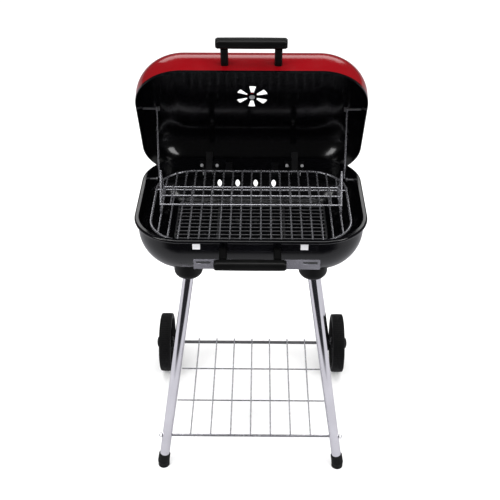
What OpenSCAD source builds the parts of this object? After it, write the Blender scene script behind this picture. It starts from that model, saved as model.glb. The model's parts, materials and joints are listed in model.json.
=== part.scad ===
// Charcoal grill with a hinged lid, a deep pressed bowl and a two-wheeled leg frame.
// The floor is z = 0, the front faces -Y and the right side is +X.

/* [Bowl and lid] */
// Width of the bowl over its rolled rim
bowl_w = 474; // [440:1:520]
// Depth of the bowl over its rolled rim, front to back
bowl_d = 342; // [330:1:380]
// Corner radius of the rim seen from above
corner_r = 100; // [98:1:110]
// Height of the bowl's rim above the floor
rim_z = 630; // [600:1:660]
// Straight height of the bowl's wall under the rim
bowl_wall = 26; // [22:1:30]
// Straight height of the lid's wall above its edge
lid_wall = 20; // [18:1:26]
// Radius of the big curve between the bowl's wall and its bottom
curve_r = 84; // [80:1:86]
// Radius of the big curve between the lid's wall and its crown
lid_curve = 72; // [66:1:80]
// Thickness of the enamelled sheet
sheet = 1.5; // [1.2:0.1:1.6]
// How far the lid stands open
lid_open = 65; // [0:1:65]

/* [Stand] */
// Half distance between the feet, left to right
foot_x = 204; // [196:1:212]
// Distance from the bowl's middle forward to the front feet
foot_y = 172; // [164:1:184]
// Distance from the bowl's middle back to the axle
axle_y = 178; // [168:1:186]
// Half distance between the tops of the legs, left to right
socket_x = 125; // [120:1:132]
// Half distance between the tops of the legs, front to back
socket_y = 90; // [84:1:96]
// Outer radius of a leg tube
leg_r = 11; // [10:0.5:12]
// Outer radius of a wheel
wheel_r = 76; // [70:1:80]
// Width of a wheel
wheel_w = 30; // [26:1:32]

/* [Wire work] */
// Distance between the bars of the cooking grate
grate_pitch = 20.5; // [20:0.5:21]
// Distance between the long wires of the shelf
shelf_pitch = 45.8; // [44:0.2:48]
// Distance between the rods of the warming rack
rack_pitch = 35; // [28:1:36]

/* [Handles and vents] */
// Length of both handle grips
grip_l = 140; // [132:1:160]
// Distance from the wall to the middle of a grip
grip_reach = 48; // [44:1:54]
// Outer radius of the lid's vent openings
vent_r = 35; // [32:1:40]
// Radius of an air hole in the rear wall
air_r = 9; // [7:0.5:10]

/* [Hidden] */
$fn = 64;

bead_r = 4;                         // rolled rim of the bowl
bead_out = 7;                       // how far the bead stands out of the wall
half_w = bowl_w / 2;
half_d = bowl_d / 2;
wall_r = corner_r - bead_out;       // plan radius of the bowl's wall at a corner
inner_d = half_d - bead_out - sheet;
bowl_h = bowl_wall + curve_r;
lid_over = 2;                       // the lid's wall stands this far outside the rim
lid_drop = 3;                       // and its edge hangs this far below the rim's top
lid_r = corner_r + lid_over;
lid_h = lid_wall + lid_curve;
lid_z = rim_z - lid_drop;
overlap = 0.4;                      // welded wires sink into each other this much

pivot_y = half_d - 33;              // hinge axis, inside the bowl behind the grate
pivot_z = rim_z - 24;
hinge_x = 96;
pin_r = 3;
run_gap = 0.06;
strap_w = 14;
strap_t = 2.5;
strap_rise = 42.8;                  // from the hinge axis up to the strap's level part
strap_back = 28.5;                  // from the hinge axis back to its upright
strap_up = 15.8;                    // height of the upright, under the lid's curve

wire_r = 1.8;
frame_r = 2.5;
vent_y = 8;
vent_in = 12;                       // inner radius of the vent openings
vent_wide = 30;                     // angle that each takes up
stay_x = 204;
stay_y = half_d - 178;                       // upper pivot of a stay, with the lid shut
stay_z = rim_z + 42;
stay_l = 153;
guide_y = half_d - 70;
guide_z = rim_z - 18;

grate_z = rim_z - 12;
grate_x = 204;
grate_front = 18 - half_d;
grate_rear = half_d - 45;
grate_corner = 80;
tab_x = 106;                        // front brackets of the grate
rear_tab_x = 52;
tab_w = 15;
tab_h = 13;
tab_t = 1.5;
tab_z = rim_z - 23;
rack_x = 9 * grate_pitch;
rack_z = rim_z + 12;
rack_y = -20;
rack_top = rim_z + 70;
coal_z = rim_z - 62;
coal_x = 158;
coal_y = 98;
coal_corner = 40;
foot_rod_x = 70;                    // cross rods of the charcoal grate, over its feet
coal_rod_r = 2.2;

post_x = 53;
grip_h = 20;
head_r = 5;                         // heads of the handle screws
head_h = 3;
handle_z = rim_z - 27;
strip_x = 13;

leg_top = rim_z - bowl_h + 6;
tube_t = 1.2;
leg_end = 12;                       // lower end of a front leg, inside its cap
cap_r = 13;
socket_z = rim_z - bowl_h - 25;     // lower end of the leg sockets
axle_z = wheel_r;
axle_r = 4;
wheel_x = 221;
shelf_z = 84;
rod_r = 3;
shelf_r = 1.6;
air_pitch = 41;
air_x = -16;                        // middle of the row of holes
air_angle = 24;                     // tilt of the rear wall's normal where the holes are
slide_gap = 0.4;
slide_t = 1.4;
slide_shift = 8;
slide_l = 240;
clip_x = 96;

// A straight leg's centre line at height z, with sy = -1 for a front leg and 1 for a rear one.
rear_y = socket_y + (axle_y - socket_y) * leg_top / (leg_top - axle_z);
function leg_x(z) = foot_x + (socket_x - foot_x) * z / leg_top;
function leg_y(sy, z) = let(low = sy < 0 ? foot_y : rear_y)
  sy * (low + (socket_y - low) * z / leg_top);
function leg_at(sx, sy, z) = [sx * leg_x(z), leg_y(sy, z), z];

// Shifts the bowl's middle so that the whole grill's box is centred front to back.
body_y = (half_d - bead_out + grip_reach + grip_h / 2 - axle_y - wheel_r) / 2;

// ---------------------------------------------------------------- helpers

module placed() { translate([0, body_y, 0]) children(); }

module lid_pose() {
  translate([0, pivot_y, pivot_z]) rotate([-lid_open, 0, 0])
    translate([0, -pivot_y, -pivot_z]) children();
}

module both_x() {
  children();
  mirror([1, 0, 0]) children();
}

// A straight round bar from a to b.
module bar(a, b, r) {
  v = b - a;
  l = norm(v);
  translate(a) rotate([0, acos(v.z / l), atan2(v.y, v.x)]) cylinder(r = r, h = l);
}

module x_rod(x0, x1, r) { translate([x0, 0, 0]) rotate([0, 90, 0]) cylinder(r = r, h = x1 - x0); }

// A rectangle with round corners, made of exact circles.
module rounded_plate(size, r) {
  square([size.x - 2 * r, size.y], center = true);
  square([size.x, size.y - 2 * r], center = true);
  for (sx = [-1, 1], sy = [-1, 1])
    translate([sx * (size.x / 2 - r), sy * (size.y / 2 - r)]) circle(r);
}

// Half section of a pressed pan: wall, big curve and half of its flat, opening upwards at y = 0.
module pan_section(r, wall, curve) {
  translate([r - sheet, -wall]) square([sheet, wall]);
  translate([r - curve, -wall]) intersection() {
    difference() {
      circle(curve, $fn = 96);
      circle(curve - sheet, $fn = 96);
    }
    translate([0, -curve]) square([curve, curve]);
  }
  translate([0, -wall - curve]) square([r - curve, sheet]);
}

module bowl_section() {
  pan_section(wall_r, bowl_wall, curve_r);
  translate([corner_r - bead_r, -bead_r]) circle(bead_r);
  translate([wall_r - sheet, -sheet]) square([corner_r - bead_r - wall_r + sheet, sheet]);
}

module lid_section() { pan_section(lid_r, lid_wall, lid_curve); }

// The same half section filled solid, for shaping whatever sits against a pan.
module full_section(r, wall, curve) {
  translate([0, -wall]) square([r, wall]);
  translate([0, -wall - curve]) square([r - curve, curve]);
  translate([r - curve, -wall]) intersection() {
    circle(curve, $fn = 96);
    translate([0, -curve]) square([curve, curve]);
  }
}

// Sweeps a half section round a rounded rectangle whose corner centres are at +-cx, +-cy.
module swept(cx, cy, h, floor_t = sheet) {
  for (i = [0:3]) {
    sx = (i == 0 || i == 3) ? 1 : -1;
    sy = (i < 2) ? 1 : -1;
    translate([sx * cx, sy * cy, 0]) rotate([0, 0, 90 * i]) rotate_extrude(angle = 90) children();
    side = (i % 2 == 0) ? cy : cx;
    out = (i % 2 == 0) ? cx : cy;
    rotate([0, 0, 90 * i]) translate([out, side, 0]) rotate([90, 0, 0])
      linear_extrude(2 * side) children();
  }
  translate([-cx, -cy, -h]) cube([2 * cx, 2 * cy, floor_t]);
}

// Everything inside the bowl's outer faces, less a skin.
module bowl_block(skin) {
  translate([0, 0, rim_z]) swept(half_w - corner_r, half_d - corner_r, bowl_h - skin, bowl_h - skin)
    full_section(wall_r - skin, bowl_wall, curve_r - skin);
}

module lid_block(skin) {
  translate([0, 0, lid_z]) mirror([0, 0, 1])
    swept(half_w - corner_r, half_d - corner_r, lid_h - skin, lid_h - skin)
      full_section(lid_r - skin, lid_wall, lid_curve - skin);
}

// A fan of six wedge openings.
module wedges(r0, r1, width) {
  intersection() {
    difference() {
      circle(r1);
      circle(r0);
    }
    for (i = [0:5]) rotate(60 * i + 30) polygon([[0, 0], [60 * cos(width / 2), 60 * sin(width / 2)],
      [60 * cos(width / 2), -60 * sin(width / 2)]]);
  }
}

// ---------------------------------------------------------------- bowl and its fittings

// Puts children at the air holes' row: +Z points out of the curved rear wall.
module at_rear_wall() {
  translate([0, half_d - bead_out - curve_r, rim_z - bowl_wall]) rotate([-90 - air_angle, 0, 0])
    children();
}

module bowl() color("#141416") {
  difference() {
    translate([0, 0, rim_z])
      swept(half_w - corner_r, half_d - corner_r, bowl_h) bowl_section();
    at_rear_wall() for (i = [-1.5:1:1.5])
      translate([air_x + i * air_pitch, 0, curve_r - 8]) cylinder(r = air_r, h = 16);
  }
}

// The slide is bent to the same centre as the wall, so it runs along X with an even gap.
module slide_section(r0, r1, a0, a1) {
  intersection() {
    difference() {
      circle(r1, $fn = 96);
      circle(r0, $fn = 96);
    }
    polygon([[0, 0], [200 * cos(a0), -200 * sin(a0)],
      [200 * cos((a0 + a1) / 2), -200 * sin((a0 + a1) / 2)], [200 * cos(a1), -200 * sin(a1)]]);
  }
}

module along_wall(length) {
  translate([length / 2, half_d - bead_out - curve_r, rim_z - bowl_wall])
    rotate([90, 0, -90]) mirror([1, 0, 0]) linear_extrude(length) children();
}

module rear_air_slide() color("#2a2a2c") difference() {
  translate([air_x + slide_shift, 0, 0]) along_wall(slide_l)
    slide_section(curve_r + slide_gap, curve_r + slide_gap + slide_t, air_angle - 12, air_angle + 12);
  at_rear_wall() for (i = [-1.5:1:1.5])
    translate([air_x + slide_shift + i * air_pitch, 0, curve_r - 4]) cylinder(r = air_r, h = 12);
}

module air_slide_knob() color("#1b1b1b") at_rear_wall()
  translate([air_x + slide_shift, 0, curve_r + slide_gap + slide_t]) {
    cylinder(r = 4, h = 6);
    translate([0, 0, 6]) cylinder(r = 8, h = 9);
  }

module air_slide_clips() color("silver") both_x() {
  translate([clip_x, 0, 0]) along_wall(10)
    slide_section(curve_r + slide_gap + slide_t + 0.4, curve_r + slide_gap + slide_t + 1.6,
      air_angle - 17, air_angle + 17);
  for (a = [air_angle - 15.4, air_angle + 15.4])
    translate([clip_x, 0, 0]) along_wall(10) slide_section(curve_r, curve_r + slide_gap + slide_t + 1,
      a - 1.6, a + 1.6);
}

// A tab outside the front wall, and inside it a bent bracket that the grate's frame rests on.
module grate_brackets() color("silver") both_x() translate([tab_x - tab_w / 2, 0, 0]) {
  translate([0, -half_d + bead_out - tab_t, tab_z]) cube([tab_w, tab_t, tab_h]);
  translate([0, -inner_d, tab_z]) cube([tab_w, tab_t, tab_h]);
  translate([0, -inner_d, grate_z - frame_r - tab_t]) cube([tab_w, 16, tab_t]);
}

module rear_grate_brackets() color("silver") both_x() translate([rear_tab_x - tab_w / 2, 0, 0]) {
  translate([0, inner_d - tab_t, tab_z]) cube([tab_w, tab_t, tab_h]);
  translate([0, grate_rear - 8, grate_z - frame_r - tab_t]) cube([tab_w, inner_d - grate_rear + 8, tab_t]);
}

module grip(l) {
  translate([-l / 2, 0, 0]) rotate([90, 0, 90]) linear_extrude(l) rounded_plate([grip_h, grip_h], 5);
}

module posts(reach) {
  both_x() translate([post_x, 5, 0]) rotate([90, 0, 0]) linear_extrude(reach - 5)
    rounded_plate([15, 17], 4);
}

module bowl_handle_place() { translate([0, -half_d + bead_out, handle_z]) children(); }

module bowl_handle_posts() color("#1a1a1a") difference() {
  bowl_handle_place() posts(grip_reach);
  bowl_block(0);
}

module bowl_handle_grip() color("#161616") bowl_handle_place() translate([0, -grip_reach, 0]) grip(grip_l);

module bowl_handle_screws() color("silver") both_x()
  translate([post_x, -inner_d, rim_z - 20]) rotate([-90, 0, 0]) cylinder(r = head_r, h = head_h);

// A slotted strip hung on the handle's posts, with a lip along its lower edge.
module tool_strip() color("silver") translate([strip_x, -half_d - 24, handle_z - 10]) difference() {
  union() {
    translate([-123, -0.8, -11]) cube([246, 1.6, 22]);
    translate([-123, -0.8, -11]) cube([246, 9, 1.6]);
  }
  for (sx = [-1, 1]) {
    translate([sx * 104 - 14, -5, 1]) cube([28, 10, 6]);
    translate([sx * post_x - strip_x - 7.8, -5, 1.2]) cube([15.6, 20, 20]);
  }
}

module charcoal_grate() color("#6f7074") {
  loop_frame(coal_x, -coal_y, coal_y, coal_corner, 2.2, coal_z);
  for (y = [-coal_y + 14 : 14 : coal_y - 10]) {
    inset = max(0, abs(y) - (coal_y - coal_corner));
    reach = coal_x - coal_corner + sqrt(pow(coal_corner, 2) - pow(inset, 2));
    translate([0, y, coal_z + 1.2]) x_rod(-reach, reach, 1.6);
  }
  for (x = [-foot_rod_x, foot_rod_x]) bar([x, -coal_y, coal_z - 1.2], [x, coal_y, coal_z - 1.2], coal_rod_r);
}

// Four short wires stand the charcoal grate off the bowl's bottom.
module charcoal_grate_feet() color("#6f7074") for (x = [-foot_rod_x, foot_rod_x], y = [-60, 60])
  bar([x, y, rim_z - bowl_h + sheet], [x, y, coal_z - 1.2 - coal_rod_r + 0.02], 2);

// A wire bent to a rounded rectangle.
module loop_frame(x, y0, y1, r, wire, z) {
  cy = (y0 + y1) / 2;
  hy = (y1 - y0) / 2;
  translate([0, cy, z]) {
    for (i = [0:3]) {
      sx = (i == 0 || i == 3) ? 1 : -1;
      sy = (i < 2) ? 1 : -1;
      translate([sx * (x - r), sy * (hy - r), 0]) rotate([0, 0, 90 * i])
        rotate_extrude(angle = 90) translate([r, 0]) circle(wire, $fn = 24);
    }
    for (s = [-1, 1]) {
      translate([0, s * hy, 0]) x_rod(-(x - r), x - r, wire);
      translate([s * x, -(hy - r), 0]) rotate([-90, 0, 0]) cylinder(r = wire, h = 2 * (hy - r));
    }
  }
}

function grate_reach(x) = let(inset = max(0, abs(x) - (grate_x - grate_corner)))
  grate_corner - sqrt(pow(grate_corner, 2) - pow(inset, 2));

module cooking_grate() color("silver") {
  loop_frame(grate_x, grate_front, grate_rear, grate_corner, frame_r, grate_z);
  for (i = [-9:9]) {
    x = i * grate_pitch;
    bar([x, grate_front + grate_reach(x), grate_z + 1.6], [x, grate_rear - grate_reach(x), grate_z + 1.6],
      wire_r);
  }
  translate([0, grate_rear - grate_corner, grate_z - 1.2]) x_rod(-grate_x, grate_x, 2);
}

module warming_rack() color("silver") {
  for (i = [-1:1]) translate([0, rack_y + i * rack_pitch, rack_z]) x_rod(-rack_x, rack_x, wire_r);
  for (i = [-8:2:8]) bar([i * grate_pitch, rack_y - rack_pitch, rack_z + 2.4],
    [i * grate_pitch, rack_y + rack_pitch, rack_z + 2.4], 1.4);
  both_x() {
    for (s = [-1, 1]) {
      bar([rack_x, rack_y + s * rack_pitch, rack_z], [rack_x, rack_y, rack_top], wire_r);
      bar([rack_x, rack_y + s * rack_pitch, grate_z + 1.6 + wire_r],
        [rack_x, rack_y + s * rack_pitch, rack_z], wire_r);
      translate([rack_x, rack_y + s * rack_pitch, rack_z]) sphere(wire_r + 0.3);
    }
    bar([rack_x, rack_y - rack_pitch, rack_z], [rack_x, rack_y + rack_pitch, rack_z], wire_r);
    translate([rack_x, rack_y, rack_top]) sphere(wire_r + 0.3);
  }
}

// ---------------------------------------------------------------- hinge

module at_hinges() { both_x() translate([hinge_x, 0, 0]) children(); }

module hinge_bowl_brackets() color("silver") at_hinges() difference() {
  union() {
    translate([-22, inner_d - 2, rim_z - 26]) cube([44, 2, 20]);
    for (s = [-1, 1]) translate([s * 9.5 - 1.2, pivot_y - 6, pivot_z - 6])
      cube([2.4, inner_d - pivot_y + 5, 13]);
  }
  translate([-20, pivot_y, pivot_z]) rotate([0, 90, 0]) cylinder(r = pin_r, h = 40);
}

module hinge_pins() color("silver") at_hinges() translate([0, pivot_y, pivot_z]) {
  x_rod(-12, 12, pin_r);
  x_rod(11.2, 13.5, 5);
  x_rod(-13.5, -11.2, 5);
}

module hinge_screws() color("silver") at_hinges() for (s = [-1, 1])
  translate([s * 17, inner_d - 2, rim_z - 16]) rotate([90, 0, 0]) cylinder(r = 3.6, h = 2.4);

// Goose-neck strap: it climbs over the rim so that the lid's rear edge can drop behind the bowl.
module hinge_lid_straps() color("silver") lid_pose() at_hinges() difference() {
  translate([-strap_w / 2, pivot_y, pivot_z]) rotate([90, 0, 90]) linear_extrude(strap_w) {
    circle(6);
    rotate(90 + 24.4) translate([0, -strap_t / 2]) square([48.2, strap_t]);
    translate([-20.5, strap_rise]) square([strap_back + strap_t + 20.5, strap_t]);
    translate([strap_back, strap_rise]) square([strap_t, strap_up]);
  }
  translate([-20, pivot_y, pivot_z]) rotate([0, 90, 0]) cylinder(r = pin_r + run_gap, h = 40);
}

module strap_screws() color("silver") lid_pose() intersection() {
  at_hinges() translate([0, pivot_y + strap_back, pivot_z + strap_rise + 10.2]) rotate([-90, 0, 0]) {
    translate([0, 0, -2.2]) cylinder(r = 4, h = 2.2);
    translate([0, 0, strap_t]) cylinder(r = 2.5, h = 8);
  }
  lid_block(sheet);
}

// ---------------------------------------------------------------- lid and its fittings

module lid() color("#a80d14") lid_pose() difference() {
  translate([0, 0, lid_z]) mirror([0, 0, 1])
    swept(half_w - corner_r, half_d - corner_r, lid_h) lid_section();
  translate([0, vent_y, lid_z + lid_h - 10]) linear_extrude(20) wedges(vent_in, vent_r, vent_wide);
  translate([0, vent_y, lid_z + lid_h - 10]) cylinder(r = 3.05, h = 20);
}

module lid_vent_damper() color("#1b1b1d") lid_pose()
  translate([0, vent_y, lid_z + lid_h + 0.3]) rotate([0, 0, 4]) difference() {
    union() {
      cylinder(r = vent_r + 6, h = 1.2);
      translate([-5, vent_r, 0]) cube([10, 18, 1.2]);
      translate([-5, vent_r + 16.8, 0]) cube([10, 1.2, 10]);
    }
    translate([0, 0, -1]) linear_extrude(4) wedges(vent_in, vent_r, vent_wide);
    translate([0, 0, -1]) cylinder(r = 3.06, h = 4);
  }

module damper_rivet() color("silver") lid_pose() translate([0, vent_y, lid_z + lid_h]) {
  translate([0, 0, -sheet - 1.6]) cylinder(r = 6, h = 1.6);
  translate([0, 0, -sheet]) cylinder(r = 3, h = sheet + 2);
  translate([0, 0, 1.8]) cylinder(r = 6, h = 1.6);
}

module lid_handle_place() {
  lid_pose() translate([0, -half_d - lid_over, lid_z + 24]) rotate([-9, 0, 0]) children();
}

module lid_handle_posts() color("#1a1a1a") difference() {
  lid_handle_place() posts(grip_reach);
  lid_pose() lid_block(0);
}

module lid_handle_grip() color("#161616") lid_handle_place() translate([0, -grip_reach, 0]) grip(grip_l);

module lid_handle_screws() color("silver") lid_pose() both_x()
  translate([post_x, -half_d - lid_over + sheet, lid_z + 14]) rotate([-90, 0, 0])
    cylinder(r = head_r, h = head_h);

// ---------------------------------------------------------------- lid stays

// The stay's slope with the lid shut, chosen so that it passes the guide screw at both ends.
stay_slope = atan2(stay_z - guide_z, guide_y - stay_y);
stay_lag = 9;
eye_t = 2.6;

module stay(side) color("silver") lid_pose() translate([side * stay_x, stay_y, stay_z])
  rotate([-stay_slope - stay_lag, 0, 0]) difference() {
    union() {
      translate([-eye_t / 2, 0, 0]) rotate([0, 90, 0]) cylinder(r = 5.4, h = eye_t);
      translate([0, 4, 0]) rotate([-90, 0, 0]) cylinder(r = wire_r, h = stay_l - 4);
      translate([0, stay_l, 0]) sphere(wire_r + 0.5);
    }
    translate([-5, 0, 0]) rotate([0, 90, 0]) cylinder(r = 2.5 + run_gap, h = 10);
  }

module stay_left() { stay(-1); }
module stay_right() { stay(1); }

module stay_pivot_screws() color("silver") lid_pose() both_x() intersection() {
  translate([0, stay_y, stay_z]) {
    x_rod(stay_x - 4, half_w + 20, 2.5);
    x_rod(stay_x - 6.4, stay_x - 3.2, 5);
  }
  lid_block(sheet);
}

module stay_guide_screws() color("silver") both_x() intersection() {
  translate([0, guide_y, guide_z]) {
    x_rod(stay_x + 3.5, half_w, 2.5);
    x_rod(stay_x + 3.5, stay_x + 6.5, 4.5);
  }
  bowl_block(sheet);
}

// ---------------------------------------------------------------- stand

// A cup under each corner of the bowl, shaped to its bottom, hollowed below and bored for the leg.
module leg_sockets() color("#121212") for (sx = [-1, 1], sy = [-1, 1]) difference() {
  translate(leg_at(sx, sy, socket_z)) rotate_extrude() polygon(concat([[0, 0], [16, 0]],
    [for (a = [15:15:90]) [16 + 14 * sin(a), 16 - 14 * cos(a)]], [[30, 50], [0, 50]]));
  translate(leg_at(sx, sy, socket_z)) sphere(15);
  bar(leg_at(sx, sy, socket_z), leg_at(sx, sy, socket_z + 20), leg_r + 0.04);
  bowl_block(0);
}

module leg(sx, sy, z0) color("silver") difference() {
  bar(leg_at(sx, sy, z0), leg_at(sx, sy, socket_z + 20), leg_r);
  bar(leg_at(sx, sy, z0 - 10), leg_at(sx, sy, leg_top), leg_r - tube_t);
  if (sy > 0) translate([0, axle_y, axle_z]) x_rod(-300, 300, axle_r);
  else translate([0, leg_y(sy, shelf_z), shelf_z]) x_rod(-300, 300, rod_r);
}

module leg_front_left() { leg(-1, -1, leg_end); }
module leg_front_right() { leg(1, -1, leg_end); }
module leg_rear_left() { leg(-1, 1, 56); }
module leg_rear_right() { leg(1, 1, 56); }

// A cap pushed over the end of a front leg. A ball joins its level base to its slanted sleeve.
module foot_cap(sx) color("#151515") {
  bend = cap_r + 0.6;
  difference() {
    union() {
      translate([sx * leg_x(bend), leg_y(-1, bend), 0]) cylinder(r = cap_r, h = bend);
      translate(leg_at(sx, -1, bend)) sphere(bend);
      bar(leg_at(sx, -1, bend), leg_at(sx, -1, 32), cap_r + 0.3);
    }
    bar(leg_at(sx, -1, leg_end), leg_at(sx, -1, 60), leg_r);
  }
}

module foot_cap_left() { foot_cap(-1); }
module foot_cap_right() { foot_cap(1); }

module axle() color("silver") translate([0, axle_y, axle_z]) x_rod(-wheel_x - 23.4, wheel_x + 23.4, axle_r);

module axle_nuts() color("silver") both_x() translate([0, axle_y, axle_z]) difference() {
  translate([wheel_x + 16, 0, 0]) rotate([0, 90, 0]) cylinder(r = 8, h = 6, $fn = 6);
  x_rod(200, 300, axle_r);
}

module wheel(side) color("#1c1c1c") translate([side * wheel_x, axle_y, axle_z]) rotate([0, 90, 0])
  difference() {
    union() {
      rotate_extrude($fn = 96) polygon([[wheel_r - 8, -wheel_w / 2], [wheel_r - 3, -wheel_w / 2],
        [wheel_r, -wheel_w / 2 + 3], [wheel_r, wheel_w / 2 - 3], [wheel_r - 3, wheel_w / 2],
        [wheel_r - 8, wheel_w / 2]]);
      translate([0, 0, -3]) cylinder(r = wheel_r - 7, h = 6);
      translate([0, 0, -wheel_w / 2]) cylinder(r = 15, h = wheel_w);
      for (a = [0:60:300]) rotate([0, 0, a]) translate([12, -2.5, -wheel_w / 2 + 4])
        cube([wheel_r - 17, 5, wheel_w - 8]);
    }
    translate([0, 0, -wheel_w]) cylinder(r = axle_r + run_gap, h = 2 * wheel_w);
  }

module wheel_left() { wheel(-1); }
module wheel_right() { wheel(1); }

module hub_cap(side) color("#101010") mirror([side < 0 ? 1 : 0, 0, 0])
  translate([wheel_x + 15.3, axle_y, axle_z]) rotate([0, 90, 0]) difference() {
    rotate_extrude() polygon(concat([[0, 0], [14, 0], [14, 6]],
      [for (a = [0:15:90]) [14 * cos(a), 6 + 5 * sin(a)]]));
    translate([0, 0, -1]) cylinder(r = 9.5, h = 9.5);
  }

module hub_cap_left() { hub_cap(-1); }
module hub_cap_right() { hub_cap(1); }

// The long wires are welded to the front rod and lie on the axle at the rear.
module bottom_shelf() color("silver") {
  front = [0, leg_y(-1, shelf_z), shelf_z + rod_r + shelf_r - overlap];
  rear = [0, axle_y + 6, axle_z + axle_r + shelf_r + 0.1];
  translate([0, front.y, shelf_z]) x_rod(-leg_x(shelf_z) - 19, leg_x(shelf_z) + 19, rod_r);
  for (i = [-3:3]) bar(front + [i * shelf_pitch, 0, 0], rear + [i * shelf_pitch, 0, 0], shelf_r);
  for (f = [1 / 3, 2 / 3]) translate(rear + (front - rear) * f - [0, 0, 2 * shelf_r - overlap])
    x_rod(-172 - 7 * f, 172 + 7 * f, shelf_r);
}

module shelf_nuts() color("silver") both_x() translate([0, leg_y(-1, shelf_z), shelf_z]) difference() {
  translate([leg_x(shelf_z) + 12, 0, 0]) rotate([0, 90, 0]) cylinder(r = 6, h = 5, $fn = 6);
  x_rod(150, 300, rod_r);
}

placed() bowl();
placed() lid();
placed() lid_handle_grip();
placed() lid_handle_posts();
placed() lid_handle_screws();
placed() lid_vent_damper();
placed() damper_rivet();
placed() hinge_bowl_brackets();
placed() hinge_lid_straps();
placed() hinge_pins();
placed() hinge_screws();
placed() strap_screws();
placed() stay_left();
placed() stay_right();
placed() stay_pivot_screws();
placed() stay_guide_screws();
placed() warming_rack();
placed() cooking_grate();
placed() grate_brackets();
placed() rear_grate_brackets();
placed() charcoal_grate();
placed() charcoal_grate_feet();
placed() rear_air_slide();
placed() air_slide_knob();
placed() air_slide_clips();
placed() bowl_handle_grip();
placed() bowl_handle_posts();
placed() tool_strip();
placed() bowl_handle_screws();
placed() leg_sockets();
placed() leg_front_left();
placed() leg_front_right();
placed() leg_rear_left();
placed() leg_rear_right();
placed() foot_cap_left();
placed() foot_cap_right();
placed() axle();
placed() axle_nuts();
placed() wheel_left();
placed() wheel_right();
placed() hub_cap_left();
placed() hub_cap_right();
placed() bottom_shelf();
placed() shelf_nuts();
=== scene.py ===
"""Looks for the charcoal grill: materials, finer meshes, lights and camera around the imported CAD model.

Everything is in metres in the CAD's own frame: the floor is z = 0, the front faces -Y, +X is right.
"""
import json
import math

import bmesh
import bpy
from mathutils import Matrix, Vector


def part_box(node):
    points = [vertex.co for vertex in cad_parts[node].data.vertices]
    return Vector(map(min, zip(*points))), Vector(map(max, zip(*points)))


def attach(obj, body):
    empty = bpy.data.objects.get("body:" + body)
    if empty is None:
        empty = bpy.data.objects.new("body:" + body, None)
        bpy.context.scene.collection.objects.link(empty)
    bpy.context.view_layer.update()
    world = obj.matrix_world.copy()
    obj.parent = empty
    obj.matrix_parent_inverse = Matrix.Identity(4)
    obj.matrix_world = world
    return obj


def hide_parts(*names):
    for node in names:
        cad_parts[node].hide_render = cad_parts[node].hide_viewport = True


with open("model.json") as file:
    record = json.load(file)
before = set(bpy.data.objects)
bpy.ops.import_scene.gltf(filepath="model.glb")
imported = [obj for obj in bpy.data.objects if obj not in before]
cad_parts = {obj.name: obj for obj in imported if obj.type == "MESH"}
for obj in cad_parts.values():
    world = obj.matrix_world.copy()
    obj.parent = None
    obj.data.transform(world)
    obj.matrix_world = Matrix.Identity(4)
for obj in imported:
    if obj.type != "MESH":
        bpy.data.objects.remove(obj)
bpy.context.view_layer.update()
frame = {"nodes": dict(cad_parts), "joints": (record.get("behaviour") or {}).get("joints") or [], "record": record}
nodes = frame["nodes"]
record = frame["record"]
joints = {j["name"]: j for j in frame["joints"]}

LID_OPEN = math.radians(65)   # how far the lid stands open at rest


# ---------------------------------------------------------------- camera, lights and stage

CAMERA_DISTANCE = 1.5985      # from the bowl's middle, along the floor
CAMERA_HEIGHT = 1.596
CAMERA_DOWN = math.radians(34.2)
CAMERA_TURN = math.radians(0.6)
FOCAL_SHARE = 1.776           # focal length over the picture's width
SENSOR = 36.0
SHIFT = (-0.0024, -0.0132)    # small framing shift, in picture widths

WALLS = 0.95                  # strength of the studio's white walls
WALLS_MIRRORED = 0.07         # and what reflections see of them
REFLECTED_SHADE_EDGE = -0.78            # y beyond which reflections see the floor painted near black (painted shade; the camera still sees white paper)


def middle(node):
    low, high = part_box(node)
    return (low + high) / 2


def add_camera():
    data = bpy.data.cameras.new("camera")
    data.sensor_width = SENSOR
    data.lens = FOCAL_SHARE * SENSOR
    data.shift_x, data.shift_y = SHIFT
    camera = bpy.data.objects.new("camera", data)
    bpy.context.collection.objects.link(camera)
    bowl = middle("bowl")
    camera.location = (bowl.x + CAMERA_DISTANCE * math.sin(CAMERA_TURN),
                       bowl.y - CAMERA_DISTANCE * math.cos(CAMERA_TURN), CAMERA_HEIGHT)
    camera.rotation_euler = (math.pi / 2 - CAMERA_DOWN, 0, CAMERA_TURN)
    bpy.context.scene.camera = camera


def add_area(name, place, target, size, power):
    data = bpy.data.lights.new(name, "AREA")
    data.shape = "RECTANGLE"
    data.size, data.size_y = size
    data.energy = power
    light = bpy.data.objects.new(name, data)
    bpy.context.collection.objects.link(light)
    light.location = place
    light.rotation_euler = (Vector(target) - Vector(place)).to_track_quat("-Z", "Y").to_euler()


def seen_in_gloss(tree, direct, mirrored):
    """A strength that is direct for sight and diffuse light, and mirrored in reflections."""
    path = tree.nodes.new("ShaderNodeLightPath")
    mix = tree.nodes.new("ShaderNodeMapRange")
    mix.inputs["To Min"].default_value = direct
    mix.inputs["To Max"].default_value = mirrored
    tree.links.new(path.outputs["Is Glossy Ray"], mix.inputs["Value"])
    return mix.outputs["Result"]


def add_world():
    """White studio walls. Reflections see them dimmer, as they would with black flags round the grill."""
    world = bpy.data.worlds.new("studio")
    bpy.context.scene.world = world
    world.use_nodes = True
    background = world.node_tree.nodes["Background"]
    background.inputs["Color"].default_value = (1.0, 1.0, 1.0, 1)
    world.node_tree.links.new(seen_in_gloss(world.node_tree, WALLS, WALLS_MIRRORED),
                              background.inputs["Strength"])


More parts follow.
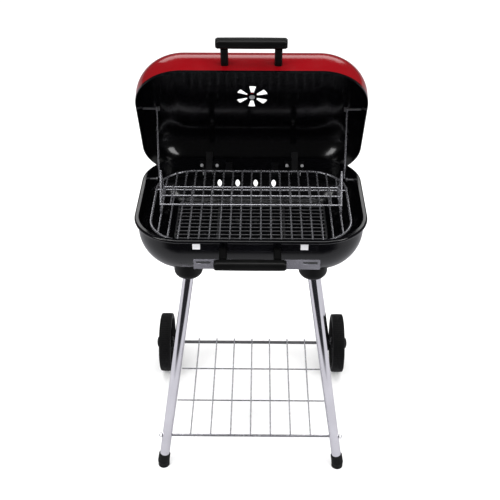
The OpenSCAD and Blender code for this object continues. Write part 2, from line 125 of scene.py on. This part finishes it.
def floor_material():
    """White paper. Reflections see painted shade on it: the paper dimmer, and near black from a little in front of
    the grill, where a studio would turn dark.
    """
    g = Graph("floor_paper")
    path = g.add("ShaderNodeLightPath")
    split = g.add("ShaderNodeSeparateXYZ")
    g.link(g.coords(), split.inputs["Vector"])
    # Painted shade in reflections only: glossy rays see the paper at 0.40 instead of 0.95, and near black beyond
    # the edge.
    near = g.remap(split.outputs["Y"], 1.0, 0.0, REFLECTED_SHADE_EDGE - 0.1, REFLECTED_SHADE_EDGE + 0.1)
    dark = g.math("MULTIPLY", near, path.outputs["Is Glossy Ray"])
    paper_with_reflected_shade = g.mix(path.outputs["Is Glossy Ray"], (0.95, 0.95, 0.95), (0.40, 0.40, 0.42))
    g.color(g.mix(dark, paper_with_reflected_shade, (0.01, 0.01, 0.012)))
    g.set(Roughness=0.95, Specular_IOR_Level=0.1)
    return g.material


def add_stage():
    add_world()
    mesh = bpy.data.meshes.new("floor")
    reach = 12.0
    mesh.from_pydata([(-reach, -reach, 0), (reach, -reach, 0), (reach, reach, 0), (-reach, reach, 0)], [],
                     [(0, 1, 2, 3)])
    floor = bpy.data.objects.new("floor", mesh)
    bpy.context.collection.objects.link(floor)
    floor.data.materials.append(floor_material())
    bpy.context.scene.view_settings.view_transform = "Standard"
    add_area("softbox_left", (-2.2, -1.4, 2.4), (0, 0, 0.6), (0.9, 1.5), 34)
    add_area("softbox_right", (2.2, -1.4, 2.4), (0, 0, 0.6), (0.9, 1.5), 34)
    add_area("softbox_top", (0, -0.3, 2.9), (0, 0, 0.6), (2.2, 1.0), 36)
    add_area("softbox_rear", (0, 2.4, 2.3), (0, 0, 0.8), (3.4, 1.0), 26)


# ---------------------------------------------------------------- materials

class Graph:
    """A material's nodes, with short calls for the ones used here."""

    def __init__(self, name):
        self.material = bpy.data.materials.new(name)
        self.material.use_nodes = True
        self.tree = self.material.node_tree
        self.shader = self.tree.nodes["Principled BSDF"]

    def add(self, kind, **values):
        node = self.tree.nodes.new(kind)
        for key, value in values.items():
            setattr(node, key, value)
        return node

    def link(self, a, b):
        self.tree.links.new(a, b)

    def set(self, **values):
        for key, value in values.items():
            self.shader.inputs[key.replace("_", " ")].default_value = value

    def coords(self):
        return self.add("ShaderNodeTexCoord").outputs["Object"]

    def noise(self, scale, detail=3.0, stretch=None):
        noise = self.add("ShaderNodeTexNoise")
        noise.inputs["Scale"].default_value = scale
        noise.inputs["Detail"].default_value = detail
        vector = self.coords()
        if stretch:
            mapping = self.add("ShaderNodeMapping")
            mapping.inputs["Scale"].default_value = stretch
            self.link(vector, mapping.inputs["Vector"])
            vector = mapping.outputs["Vector"]
        self.link(vector, noise.inputs["Vector"])
        return noise.outputs["Fac"]

    def remap(self, value, low, high, start=0.3, end=0.7):
        node = self.add("ShaderNodeMapRange")
        node.inputs["From Min"].default_value = start
        node.inputs["From Max"].default_value = end
        node.inputs["To Min"].default_value = low
        node.inputs["To Max"].default_value = high
        self.link(value, node.inputs["Value"])
        return node.outputs["Result"]

    def math(self, operation, a, b):
        node = self.add("ShaderNodeMath", operation=operation)
        for socket, value in zip(node.inputs, (a, b)):
            if isinstance(value, (int, float)):
                socket.default_value = value
            else:
                self.link(value, socket)
        return node.outputs["Value"]

    def mix(self, factor, a, b):
        node = self.add("ShaderNodeMix", data_type="RGBA")
        self.link(factor, node.inputs["Factor"])
        for name, value in (("A", a), ("B", b)):
            socket = [s for s in node.inputs if s.name == name and s.type == "RGBA"][0]
            if isinstance(value, tuple):
                socket.default_value = (*value, 1)
            else:
                self.link(value, socket)
        return [s for s in node.outputs if s.type == "RGBA"][0]

    def color(self, socket):
        self.link(socket, self.shader.inputs["Base Color"])

    def rough(self, socket):
        self.link(socket, self.shader.inputs["Roughness"])

    def bump(self, height, strength, distance):
        node = self.add("ShaderNodeBump")
        node.inputs["Strength"].default_value = strength
        node.inputs["Distance"].default_value = distance
        self.link(height, node.inputs["Height"])
        self.link(node.outputs["Normal"], self.shader.inputs["Normal"])


def glaze(g, low, high):
    """The glossy skin that both enamels have: uneven polish, a thin coat and a faint waviness."""
    g.rough(g.remap(g.noise(35, 4), low, high))
    g.set(Coat_Weight=0.15, Coat_Roughness=0.05, Specular_IOR_Level=0.3)
    g.bump(g.noise(9, 1), 0.03, 0.0004)


def black_enamel():
    """Glossy porcelain enamel, greyer in patches where dust lies."""
    g = Graph("black_enamel")
    dust = g.remap(g.noise(22, 6), 0.0, 1.0, 0.45, 0.8)
    g.color(g.mix(dust, (0.0015, 0.0015, 0.002), (0.003, 0.003, 0.004)))
    glaze(g, 0.10, 0.20)
    return g.material


# In the lid's own frame, from its hinge: a point inside it, and the height where its black edge ends.
CORE_FORWARD = 0.138
CORE_UP = 0.045
BLACK_BAND = 0.0255


def lid_enamel():
    """Red outside and black inside: the side is told from the way a face looks, in the lid's own frame."""
    g = Graph("lid_enamel")
    hinge = Vector(joints["lid_hinge"]["pos_m"])
    forward = Vector((0, -math.cos(LID_OPEN), math.sin(LID_OPEN)))
    up = Vector((0, math.sin(LID_OPEN), math.cos(LID_OPEN)))
    coords = g.add("ShaderNodeTexCoord")

    def along(vector, direction):
        node = g.add("ShaderNodeVectorMath", operation="DOT_PRODUCT")
        g.link(vector, node.inputs[0])
        node.inputs[1].default_value = direction
        return node.outputs["Value"]

    # A point inside the lid, well below its crown: outer faces look away from it.
    core = hinge + forward * CORE_FORWARD + up * CORE_UP
    offset = g.add("ShaderNodeVectorMath", operation="SUBTRACT")
    g.link(coords.outputs["Object"], offset.inputs[0])
    offset.inputs[1].default_value = core
    outward = g.add("ShaderNodeVectorMath", operation="DOT_PRODUCT")
    g.link(offset.outputs["Vector"], outward.inputs[0])
    g.link(coords.outputs["Normal"], outward.inputs[1])
    outside = g.math("GREATER_THAN", outward.outputs["Value"], 0.0)
    height = g.math("SUBTRACT", along(coords.outputs["Object"], up), hinge.dot(up))
    above_rim = g.math("GREATER_THAN", height, BLACK_BAND)
    red = g.math("MULTIPLY", outside, above_rim)
    mottle = g.remap(g.noise(9, 5), 0.0, 1.0)
    paint = g.mix(mottle, (0.165, 0.001, 0.003), (0.20, 0.002, 0.005))
    g.color(g.mix(red, (0.0015, 0.0015, 0.002), paint))
    glaze(g, 0.12, 0.22)
    return g.material


def chrome(name, color, low, high, grain=60, metallic=1.0):
    """Plated wire or tube: bright, with uneven polish and faint handling marks."""
    g = Graph(name)
    marks = g.remap(g.noise(grain, 5), 0.0, 1.0, 0.35, 0.75)
    dull = tuple(c * 0.86 for c in color)
    g.color(g.mix(marks, color, dull))
    g.rough(g.remap(g.noise(grain * 2.2, 4), low, high))
    g.set(Metallic=metallic)
    g.bump(g.noise(200, 2), 0.02, 0.0002)
    return g.material


def moulded(name, color, roughness, grain=900, strength=0.25):
    """Moulded black plastic or rubber with a fine grain, greyer where it is rubbed."""
    g = Graph(name)
    worn = g.remap(g.noise(14, 6), 0.0, 1.0, 0.5, 0.85)
    rubbed = tuple(c * 1.7 + 0.001 for c in color)
    g.color(g.mix(worn, color, rubbed))
    g.rough(g.remap(g.noise(60, 4), roughness - 0.07, roughness + 0.08))
    g.set(Specular_IOR_Level=0.2)
    g.bump(g.noise(grain, 3), strength, 0.0004)
    return g.material


MATERIALS = {}


def make_materials():
    MATERIALS.update({
        "black_enamel": black_enamel(),
        "red_enamel": lid_enamel(),
        "black_steel": moulded("black_steel", (0.004, 0.004, 0.0045), 0.34, 500, 0.1),
        "chrome": chrome("chrome", (0.42, 0.42, 0.45), 0.18, 0.32, 60, 0.88),
        "chrome_tube": chrome("chrome_tube", (0.93, 0.91, 0.96), 0.06, 0.13, 18),
        "zinc": chrome("zinc", (0.8, 0.8, 0.82), 0.34, 0.5, 120, 0.45),
        "dark_wire": chrome("dark_wire", (0.10, 0.10, 0.105), 0.3, 0.5, 90, 0.9),
        "black_plastic": moulded("black_plastic", (0.002, 0.002, 0.002), 0.42),
        "bright_tab": chrome("bright_tab", (0.86, 0.86, 0.88), 0.3, 0.45, 120, 0.15),
        # Painted reflection: the tool strip is chrome like the rest, painted lighter and bluer because, facing
        # forward, it would mirror the dark floor beyond the edge.
        "strip_painted_reflection": chrome("strip_painted_reflection", (0.55, 0.54, 0.61), 0.2, 0.26, 40, 0.8),
        "dull_screw": chrome("dull_screw", (0.2, 0.2, 0.21), 0.35, 0.5, 120, 0.8),
        "black_rubber": moulded("black_rubber", (0.003, 0.003, 0.003), 0.6, 600),
        "wheel_plastic": moulded("wheel_plastic", (0.003, 0.003, 0.0034), 0.5, 700),
    })


# Nodes whose finish differs a little from the rest of their slot; the tool strip's lighter, bluer chrome is a
# painted reflection, not a different finish.
OWN_LOOK = {"grate_brackets": "bright_tab", "tool_strip": "strip_painted_reflection",
            "stay_pivot_screws": "dull_screw", "stay_guide_screws": "dull_screw",
            "axle": "dull_screw"}


def dress_nodes():
    for part in record["subparts"]:
        mesh = nodes[part["node"]].data
        mesh.materials.clear()
        mesh.materials.append(MATERIALS[OWN_LOOK.get(part["node"], part["material_slot"])])


# ---------------------------------------------------------------- finer meshes

def finish_piece(mesh, name, slot, node, body, smooth_angle=35):
    """Makes a piece of a mesh that stands for a CAD node."""
    piece = bpy.data.objects.new(name, mesh)
    bpy.context.collection.objects.link(piece)
    mesh.materials.append(MATERIALS[slot])
    for polygon in mesh.polygons:
        polygon.use_smooth = True
    mesh.set_sharp_from_angle(angle=math.radians(smooth_angle))
    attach(piece, body)
    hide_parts(node)
    return piece


def revolve(bm, profile, steps, matrix, ripple=None):
    """Turns (radius, height) points about Z. ripple(angle, k) adds to point k's radius."""
    rings = []
    for i in range(steps):
        a = 2 * math.pi * i / steps
        ring = []
        for k, (r, h) in enumerate(profile):
            radius = r + (ripple(a, k) if ripple else 0)
            ring.append(bm.verts.new(matrix @ Vector((radius * math.cos(a), radius * math.sin(a), h))))
        rings.append(ring)
    n = len(profile)
    for i in range(steps):
        a, b = rings[i], rings[(i + 1) % steps]
        for k in range(n):
            bm.faces.new((a[k], b[k], b[(k + 1) % n], a[(k + 1) % n]))


def to_mesh(bm, name):
    bmesh.ops.remove_doubles(bm, verts=bm.verts, dist=1e-6)
    bmesh.ops.recalc_face_normals(bm, faces=bm.faces)
    mesh = bpy.data.meshes.new(name)
    bm.to_mesh(mesh)
    bm.free()
    return mesh


def rounded_loop(width, height, radius, steps=5):
    """A rounded rectangle's outline, anticlockwise."""
    points = []
    for cx, cy, start in ((1, 1, 0), (-1, 1, 90), (-1, -1, 180), (1, -1, 270)):
        for i in range(steps + 1):
            a = math.radians(start + 90 * i / steps)
            points.append((cx * (width / 2 - radius) + radius * math.cos(a),
                           cy * (height / 2 - radius) + radius * math.sin(a)))
    return points


GRIP_TILT = math.radians(9)   # the lid handle leans this much further than the lid
GRIP_SECTION = 0.0195
GRIP_CORNER = 0.0062
GRIP_END = 0.005              # length over which an end rolls in
GRIP_STATIONS = 40


def make_grip(node, body, reach_axis):
    """A moulded grip: slightly fuller in the middle, with rolled ends and a parting line."""
    low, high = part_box(node)
    centre = (low + high) / 2
    length = high.x - low.x
    out = reach_axis.normalized()
    side = Vector((1, 0, 0)).cross(out)
    bm = bmesh.new()
    rings = []
    for i in range(GRIP_STATIONS + 1):
        t = i / GRIP_STATIONS
        x = (t - 0.5) * length
        edge = min(t, 1 - t) * length
        rolled = max(0.0, 1 - edge / GRIP_END)
        shrink = math.sqrt(1 - rolled ** 2) * 0.25 + 0.75
        belly = 0.965 + 0.035 * math.sin(math.pi * t)
        ring = []
        for u, v in rounded_loop(GRIP_SECTION, GRIP_SECTION, GRIP_CORNER, 6):
            seam = 0.0002 if abs(v) < 0.0008 else 0.0
            s = shrink * belly
            point = centre + Vector((x, 0, 0)) + out * (u * s + seam) + side * (v * s)
            ring.append(bm.verts.new(point))
        rings.append(ring)
    for a, b in zip(rings, rings[1:]):
        for k in range(len(a)):
            bm.faces.new((a[k], a[(k + 1) % len(a)], b[(k + 1) % len(a)], b[k]))
    bm.faces.new(rings[0])
    bm.faces.new(list(reversed(rings[-1])))
    return finish_piece(to_mesh(bm, node + "_moulded"), node + "_moulded", "black_plastic", node, body, 50)


WHEEL_RIBS = 7                # ribs across the tread
TREAD_TEETH = 90              # shallow teeth round it
GROOVE = 0.0009
SHOULDER = 0.0045
FLANGE = 0.010
TYRE = 0.013                  # thickness of the tyre band, flange included
BORE = 0.0041
HUB = 0.015
HUB_EDGE = 0.002
WEB = 0.003                   # half the thickness of the web
SPOKES = 6
SPOKE = 0.0045
BEAD = (0.044, 0.047)         # inner and outer radius of the ring on the web
BEAD_HALF = 0.0075


def wheel_profile(radius, width):
    """Closed half section of the tyre: ribbed tread, rounded shoulders and a flange inside."""
    points = []
    tread = width - 0.006
    count = WHEEL_RIBS * 4
    for i in range(count + 1):
        h = -tread / 2 + tread * i / count
        groove = GROOVE if i % 4 in (1, 2) else 0.0
        crown = 0.0006 * (1 - (2 * h / tread) ** 2)
        points.append((radius - 0.0007 - groove + crown, h))
    half = width / 2
    side = [(0.0022, half - 0.0008), (SHOULDER, half), (FLANGE, half), (0.012, half - 0.002),
            (TYRE, half - 0.011)]
    points += [(radius - inset, h) for inset, h in side]
    points += [(radius - inset, -h) for inset, h in reversed(side)]
    return points


def add_box(bm, matrix, size, bevel):
    made = bmesh.ops.create_cube(bm, size=1.0)["verts"]
    for vert in made:
        vert.co = matrix @ Vector((vert.co.x * size[0], vert.co.y * size[1], vert.co.z * size[2]))
    edges = {e for v in made for e in v.link_edges}
    bmesh.ops.bevel(bm, geom=list(edges), offset=bevel, segments=2, affect="EDGES", profile=0.6)


def make_wheel(node, body):
    """A blow-moulded trolley wheel: ribbed tyre, thin web, six ribs on each face and a hub."""
    low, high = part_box(node)
    centre = (low + high) / 2
    radius = (high.z - low.z) / 2
    width = high.x - low.x
    turn = Matrix.Translation(centre) @ Matrix.Rotation(math.pi / 2, 4, "Y")
    profile = wheel_profile(radius, width)
    tread_points = WHEEL_RIBS * 4 + 1

    def teeth(angle, k):
        if k >= tread_points:
            return 0.0
        return -0.0005 * (0.5 + 0.5 * math.cos(TREAD_TEETH * angle))

    bm = bmesh.new()
    revolve(bm, profile, 720, turn, teeth)
    rim = radius - 0.0125
    half = width / 2
    revolve(bm, [(0.0125, -WEB), (rim, -WEB), (rim, WEB), (0.0125, WEB)], 96, turn)
    revolve(bm, [(BORE, -half), (HUB - HUB_EDGE, -half), (HUB, -half + HUB_EDGE),
                 (HUB, half - HUB_EDGE), (HUB - HUB_EDGE, half), (BORE, half)], 64, turn)
    inner, outer = BEAD
    revolve(bm, [(inner, -BEAD_HALF), (outer, -BEAD_HALF), (outer, BEAD_HALF), (inner, BEAD_HALF)], 96, turn)
    start = HUB - HUB_EDGE
    for i in range(SPOKES):
        spin = turn @ Matrix.Rotation(2 * math.pi * i / SPOKES, 4, "Z")
        place = spin @ Matrix.Translation(((start + rim) / 2, 0, 0))
        add_box(bm, place, (rim - start, SPOKE, width - 0.009), 0.0012)
    mesh = to_mesh(bm, node + "_moulded")
    return finish_piece(mesh, node + "_moulded", "wheel_plastic", node, body, 40)


def build():
    make_materials()
    dress_nodes()
    tilted = LID_OPEN + GRIP_TILT
    make_grip("lid_handle_grip", "lid", Vector((0, -math.cos(tilted), math.sin(tilted))))
    make_grip("bowl_handle_grip", "frame", Vector((0, -1, 0)))
    for side in ("left", "right"):
        make_wheel(f"wheel_{side}", f"{side}_wheel")


build()
add_stage()
add_camera()
bpy.context.view_layer.update()
